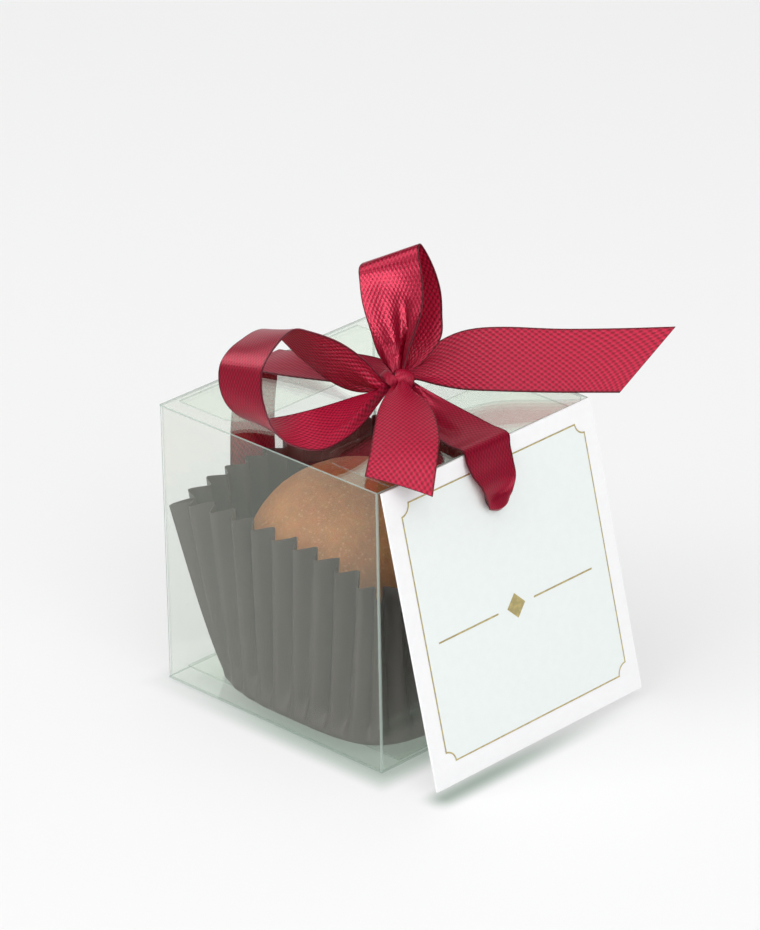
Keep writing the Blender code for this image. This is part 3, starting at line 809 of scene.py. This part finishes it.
class LADDU_OT_sweet(bpy.types.Operator):
    """Presses the sweet: a ball with the fine grain of its fried drops, flat where it rests"""

    bl_idname = "laddu_pack.sweet"
    bl_label = "Laddu"

    def execute(self, context):
        depth = sizes().grain / MM
        rest = LADDU_LOW.z / MM
        shape = bmesh.new()
        bmesh.ops.create_icosphere(shape, subdivisions=6, radius=LADDU_RADIUS)
        for vert in shape.verts:
            outward = vert.co.normalized()
            uneven = 0.12 * noise.noise(vert.co * 0.09)
            drops = noise.voronoi(vert.co * 0.62)[0]
            pressed = depth * (drops[1] - drops[0] - 0.3) + 0.4 * depth * noise.noise(vert.co * 1.7)
            spot = LADDU_CENTRE + vert.co + outward * (uneven + pressed)
            spot.z = max(spot.z, rest)
            vert.co = spot * MM
        ball = object_from(shape, "laddu_ball", (fried_gram_flour(),))
        keep(ball, "laddu", "laddu", angle=60)
        return {"FINISHED"}


def case_column(place):
    """Where a place round the case, in walls from 0 to 4, is at the base and at the rim's ridges, which
    way its pleats go in, and how many pleats come before it."""
    wall = int(place) % 4
    share = place - int(place)
    out = math.radians(180 + 90 * wall)
    outward = Vector((math.cos(out), math.sin(out), 0))
    along = Vector((-outward.y, outward.x, 0))
    slant = math.radians(90 * share - 45)
    power = BASE_POWERS[(wall + round(share)) % 4]
    size = (math.cos(slant) ** power + abs(math.sin(slant)) ** power) ** (1 / power)
    base = (outward * math.cos(slant) + along * math.sin(slant)) * CASE_BASE / size
    base.x += BASE_SHIFT
    rim = outward * CASE_RIDGE + along * (2 * share - 1) * CASE_RIDGE
    base.z = CASE_Z
    rim.z = CASE_RIM + RIM_TILT * rim.y - CORNER_DROP * abs(2 * share - 1) ** DROP_POWER
    inward = (-outward).lerp(Vector((-rim.x, -rim.y, 0)).normalized(), abs(2 * share - 1) ** 6)
    return base, rim, inward, share * PLEATS_PER_WALL[wall] + sum(PLEATS_PER_WALL[:wall])


class LADDU_OT_case(bpy.types.Operator):
    """Pleats the paper case, whose flat base nearly fills the box's, up to its uneven rim"""

    bl_idname = "laddu_pack.case"
    bl_label = "Paper Case"

    def execute(self, context):
        depth = sizes().pleat_depth / MM
        pleats = sum(PLEATS_PER_WALL)
        spots = []
        for wall, count in enumerate(PLEATS_PER_WALL):
            cells = CASE_CELLS_PER_PLEAT * count
            spots.extend(wall + cell / cells for cell in range(cells))
        spots.append(0.0)
        columns = [case_column(spot) for spot in spots]
        shape = bmesh.new()
        grid = bmesh.ops.create_grid(
            shape, x_segments=len(columns) - 1, y_segments=CASE_ROWS, size=1.0
        )["verts"]
        for vert in grid:
            base, rim, inward, turn = columns[round((vert.co.x + 1) / 2 * (len(columns) - 1))]
            level = ((vert.co.y + 1) / 2) ** 1.5
            pleat = round(turn) % pleats
            lean = 0.12 * noise.noise((pleat * 1.9, 5.0, 0.8 * level))
            swing = math.cos(math.tau * (turn + lean))
            fold = 0.5 - 0.5 * math.asin(PLEAT_SHARPNESS * swing) / math.asin(PLEAT_SHARPNESS)
            uneven = 1 + 0.25 * noise.noise((pleat * 3.7, 0.0, level))
            pushed = depth * (0.5 + 0.5 * level) * uneven * fold * min(1.0, level * 7)
            pushed += BASE_ROUND * max(0.0, 1 - level / 0.03) ** 2
            spot = base.lerp(rim, level**CASE_FLARE) + inward * pushed
            rise = VALLEY_RISE * fold + 0.3 * noise.noise((pleat * 2.3, 9.0, 0.0))
            spot.z = base.z + level * (rim.z + rise - base.z)
            vert.co = spot * MM
        bmesh.ops.remove_doubles(shape, verts=shape.verts, dist=0.004 * MM)
        lowest = CASE_Z * MM + TINY
        ring = [
            edge for edge in shape.edges
            if edge.is_boundary and all(vert.co.z < lowest for vert in edge.verts)
        ]
        bottom = bmesh.ops.contextual_create(shape, geom=ring)["faces"]
        bmesh.ops.poke(shape, faces=bottom)
        bmesh.ops.recalc_face_normals(shape, faces=shape.faces)
        case = object_from(shape, "pleated_case", (greaseproof_paper(),))
        thicken(case, sizes().paper_thickness)
        apply_modifiers(case)
        keep(case, "case_paper", "paper_case", angle=60)
        return {"FINISHED"}


def add_panel(shape, low, high, rounded_y=None, edge_index=1):
    """A flat panel of film between two corners in millimetres, with round corners at one Y end.

    Its edges take the material of that index: 1 for a cut edge and 2 for a fold."""
    low, high = Vector(low), Vector(high)
    verts = bmesh.ops.create_cube(shape, size=1.0)["verts"]
    bmesh.ops.scale(shape, vec=(high - low) * MM, verts=verts)
    bmesh.ops.translate(shape, vec=(low + high) / 2 * MM, verts=verts)
    thin = min(range(3), key=lambda axis: high[axis] - low[axis])
    for face in {face for vert in verts for face in vert.link_faces}:
        face.material_index = 0 if abs(face.normal[thin]) > 0.5 else edge_index
    if rounded_y is not None:
        edges = [
            edge
            for edge in {edge for vert in verts for edge in vert.link_edges}
            if all(abs(vert.co.y - rounded_y * MM) < TINY for vert in edge.verts)
            and abs(edge.verts[0].co.z - edge.verts[1].co.z) > TINY
        ]
        bmesh.ops.bevel(
            shape, geom=edges, offset=FLAP_CORNER * MM, segments=8, profile=0.5, affect="EDGES", material=1
        )


class LADDU_OT_box(bpy.types.Operator):
    """Folds the clear box: four walls, a lid and a base with tucks, and the dust flaps under them"""

    bl_idname = "laddu_pack.box"
    bl_label = "Clear Box"

    def execute(self, context):
        half, bottom, top = BOX_HIGH.x / MM, BOX_LOW.z / MM, BOX_HIGH.z / MM
        thin, inner = FILM, half - FILM
        shape = bmesh.new()
        low_z, high_z = bottom + thin + FILM_CLEARANCE, top - thin - FILM_CLEARANCE
        square = bmesh.ops.create_grid(shape, x_segments=1, y_segments=1, size=half * MM)["verts"]
        bmesh.ops.bevel(
            shape, geom=square, offset=0.35 * MM, segments=3, profile=0.5, affect="VERTICES", material=-1
        )
        bmesh.ops.translate(shape, vec=(0, 0, low_z * MM), verts=shape.verts)
        raised = bmesh.ops.extrude_face_region(shape, geom=list(shape.faces))["geom"]
        raised_verts = [item for item in raised if isinstance(item, bmesh.types.BMVert)]
        bmesh.ops.translate(shape, vec=(0, 0, (high_z - low_z) * MM), verts=raised_verts)
        caps = [face for face in shape.faces if abs(face.normal.z) > 0.5]
        bmesh.ops.delete(shape, geom=caps, context="FACES_ONLY")
        bmesh.ops.recalc_face_normals(shape, faces=shape.faces)
        for face in shape.faces:
            face.material_index = 0 if max(abs(face.normal.x), abs(face.normal.y)) > 0.999 else 2
        film = (
            clear_sheet(),
            sheet_edge("sheet_cut_edge", "9AA8A0", 0.3),
            sheet_edge("sheet_fold", "B4C2BA", 0.55),
        )
        walls = object_from(shape, "box_walls", film)
        shell = walls.modifiers.new("thickness", "SOLIDIFY")
        shell.thickness = thin * MM
        shell.offset = -1.0
        shell.material_offset_rim = 1
        apply_modifiers(walls)
        keep(walls, "clear_film", "clear_box", angle=30)

        shape = bmesh.new()
        reach, wide = half - 0.05, FLAP_HALF_WIDTH
        panel_end = inner - FILM_GAP
        add_panel(shape, (-reach, -reach, top - thin), (panel_end, reach, top), edge_index=2)
        add_panel(shape, (-reach, -reach, bottom), (panel_end, reach, bottom + thin))
        for sign, length in ((-1, FLAP_FRONT), (1, FLAP_BACK)):
            end = sign * (half - length)
            low_y, high_y = sorted((end, sign * (inner - 0.05)))
            for flap_low in (bottom + thin + FILM_GAP, top - 2 * thin - FILM_GAP):
                add_panel(shape, (-wide, low_y, flap_low), (wide, high_y, flap_low + thin), rounded_y=end)
        tuck = half - TUCK_INSET
        start = panel_end - thin
        add_panel(shape, (start, -tuck, top - TUCK_LENGTH), (panel_end, tuck, top - thin - 0.02))
        add_panel(shape, (start, -tuck, bottom + thin + 0.02), (panel_end, tuck, bottom + TUCK_LENGTH))
        flaps = object_from(shape, "box_flaps", film)
        keep(flaps, "clear_film", angle=30)
        return {"FINISHED"}


def frame_outline(notch):
    """Points round the tag's line: a rectangle whose corners are notched by quarter circles."""
    left, right = 0.065 * TAG_WIDTH - TAG_WIDTH / 2, 0.945 * TAG_WIDTH - TAG_WIDTH / 2
    upper, lower = -0.06 * TAG_HEIGHT, -0.93 * TAG_HEIGHT
    steps = 8
    points = []
    for x, y, start in ((right, upper, 180), (left, upper, 270), (left, lower, 0), (right, lower, 90)):
        for step in range(steps + 1):
            angle = math.radians(start + 90 - 90 * step / steps)
            points.append(Vector((x + notch * math.cos(angle), y + notch * math.sin(angle))))
    return points


class LADDU_OT_tag(bpy.types.Operator):
    """Prints the tag: a pale field in a notched foil line, and a plain foil ornament across it"""

    bl_idname = "laddu_pack.tag"
    bl_label = "Gift Tag"

    def execute(self, context):
        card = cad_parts["gift_tag"]
        for material_slot in card.material_slots:
            material_slot.material = coated_card("bare_card", colours().card)
        foil = stamped_foil()
        shape = bmesh.new()
        outline = [shape.verts.new((p.x * MM, 0.0, p.y * MM)) for p in frame_outline(NOTCH_RADIUS)]
        field = shape.faces.new(outline)
        shape.normal_update()
        rim = bmesh.ops.inset_region(
            shape, faces=[field], thickness=sizes().line_width, use_boundary=True, use_even_offset=True
        )["faces"]
        for face in rim:
            face.material_index = 1
        bmesh.ops.recalc_face_normals(shape, faces=shape.faces)
        if shape.faces[0].normal.y > 0:
            bmesh.ops.reverse_faces(shape, faces=shape.faces)
        printed = object_from(shape, "tag_print", (coated_card("printed_card", colours().print_tint), foil))
        thicken(printed, 0.03 * MM)
        cutter_shape = bmesh.new()
        radius = HOLE_RADIUS * MM
        bmesh.ops.create_cone(
            cutter_shape, cap_ends=True, segments=32, radius1=radius, radius2=radius, depth=4 * MM
        )
        bmesh.ops.rotate(cutter_shape, matrix=UPRIGHT, verts=cutter_shape.verts)
        bmesh.ops.translate(
            cutter_shape, vec=Vector((HOLE_X, 0, -HOLE_DOWN)) * MM, verts=cutter_shape.verts
        )
        cutter = object_from(cutter_shape, "tag_print_hole", ())
        punch = printed.modifiers.new("punch", "BOOLEAN")
        punch.operation = "DIFFERENCE"
        punch.object = cutter
        apply_modifiers(printed)
        bpy.data.objects.remove(cutter)
        printed.data.transform(tag_matrix() @ Matrix.Translation((0, -0.03 * MM, 0)))
        keep(printed, "tag_card", angle=30)

        shape = bmesh.new()
        middle = -0.54 * TAG_HEIGHT
        for x, long, tall in ((-11.5, 14.0, 0.28), (11.0, 14.0, 0.28), (-0.25, 3.0, 3.0)):
            verts = bmesh.ops.create_grid(shape, x_segments=1, y_segments=1, size=0.5)["verts"]
            bmesh.ops.rotate(shape, matrix=UPRIGHT, verts=verts)
            if long == tall:
                bmesh.ops.rotate(shape, matrix=EIGHTH_TURN, verts=verts)
            bmesh.ops.scale(shape, vec=(long * MM, 1.0, tall * MM), verts=verts)
            bmesh.ops.translate(shape, vec=(x * MM, 0.0, middle * MM), verts=verts)
        ornament = object_from(shape, "tag_ornament", (foil,))
        thicken(ornament, 0.04 * MM)
        apply_modifiers(ornament)
        ornament.data.transform(tag_matrix() @ Matrix.Translation((0, -0.05 * MM, 0)))
        keep(ornament, "tag_card", angle=30)
        return {"FINISHED"}


class LADDU_OT_stage(bpy.types.Operator):
    """Sets the floor, the soft light and the camera"""

    bl_idname = "laddu_pack.stage"
    bl_label = "Stage"

    def execute(self, context):
        scene = context.scene
        scene.view_settings.view_transform = "Standard"
        scene.cycles.transparent_max_bounces = 48
        scene.cycles.max_bounces = 16
        scene.cycles.caustics_reflective = False
        shape = bmesh.new()
        bmesh.ops.create_grid(shape, x_segments=1, y_segments=1, size=6.0)
        floor = object_from(shape, "floor", (matt_floor(),))

        world = bpy.data.worlds.new("soft_room")
        world.use_nodes = True
        tree = world.node_tree
        sky = tree.nodes["Background"].inputs
        sky["Color"].default_value = WHITE
        height = add(tree, "SeparateXYZ", {0: add(tree, "TexCoord").outputs["Generated"]}).outputs[2]
        tree.links.new(ramp(tree, height, 0.0, 0.6, 0.5, 0.12), sky["Strength"])
        scene.world = world
        # The shines are seen in glossy surfaces and light nothing else.
        for name, place, size, power, lights_all in (
            ("window", (-0.8, 0.2, 0.8), 0.9, 8.2, True),
            ("ceiling", (0.0, 0.0, 1.6), 2.0, 12.0, True),
            ("fill", (-0.3, -0.95, 0.75), 0.9, 8.2, True),
            ("left_shine", (-0.25, -0.035, 0.035), 0.11, 0.31, False),
            ("back_shine", (-0.01, 0.3, 0.2), 0.09, 0.13, False),
            ("lid_shine", (0.8, 0.8, 0.5), 0.9, 1.7, False),
        ):
            light = bpy.data.lights.new(name, "AREA")
            light.size = size
            light.energy = power
            lamp = bpy.data.objects.new(name, light)
            lamp.visible_diffuse = lights_all
            lamp.visible_camera = False
            lamp.location = place
            lamp.rotation_euler = (Vector((0, 0, 0.03)) - lamp.location).to_track_quat("-Z", "Y").to_euler()
            scene.collection.objects.link(lamp)

        forward = Vector((
            math.sin(CAMERA_AZIMUTH) * math.cos(CAMERA_ELEVATION),
            math.cos(CAMERA_AZIMUTH) * math.cos(CAMERA_ELEVATION),
            -math.sin(CAMERA_ELEVATION),
        ))
        level_right = forward.cross(Vector((0, 0, 1))).normalized()
        level_up = level_right.cross(forward)
        right = level_right * math.cos(CAMERA_ROLL) + level_up * math.sin(CAMERA_ROLL)
        up = level_up * math.cos(CAMERA_ROLL) - level_right * math.sin(CAMERA_ROLL)
        lens = bpy.data.cameras.new("camera")
        lens.lens = CAMERA_LENS
        lens.sensor_width = CAMERA_SENSOR
        lens.clip_start, lens.clip_end = 0.05, 20.0
        camera = bpy.data.objects.new("camera", lens)
        spot = CAMERA_TARGET - forward * CAMERA_DISTANCE + right * CAMERA_OFFSET[0] + up * CAMERA_OFFSET[1]
        turn = Matrix((right, up, -forward)).transposed().to_4x4()
        camera.matrix_world = Matrix.Translation(spot * MM) @ turn
        scene.collection.objects.link(camera)
        scene.camera = camera
        return {"FINISHED"}


class LADDU_PT_pieces(bpy.types.Panel):
    """Lists the pieces of the pack"""

    bl_label = "Laddu Gift Pack"
    bl_idname = "LADDU_PT_pieces"
    bl_space_type = "VIEW_3D"
    bl_region_type = "UI"
    bl_category = "Laddu Pack"

    def draw(self, context):
        for operator in OPERATORS:
            self.layout.operator(operator.bl_idname)
        for group in (context.scene.laddu_pack_sizes, context.scene.laddu_pack_colours):
            box = self.layout.box()
            for name in group.__annotations__:
                box.prop(group, name)


OPERATORS = (
    LADDU_OT_stage,
    LADDU_OT_sweet,
    LADDU_OT_case,
    LADDU_OT_box,
    LADDU_OT_tag,
    LADDU_OT_ribbon,
)
CLASSES = (LadduPackSizes, LadduPackColours, *OPERATORS, LADDU_PT_pieces)


def register():
    for each in CLASSES:
        bpy.utils.register_class(each)
    bpy.types.Scene.laddu_pack_sizes = bpy.props.PointerProperty(type=LadduPackSizes)
    bpy.types.Scene.laddu_pack_colours = bpy.props.PointerProperty(type=LadduPackColours)


def unregister():
    del bpy.types.Scene.laddu_pack_colours
    del bpy.types.Scene.laddu_pack_sizes
    for each in reversed(CLASSES):
        bpy.utils.unregister_class(each)


def main():
    register()
    for operator in OPERATORS:
        group, name = operator.bl_idname.split(".")
        getattr(getattr(bpy.ops, group), name)()


if __name__ == "__main__":
    main()
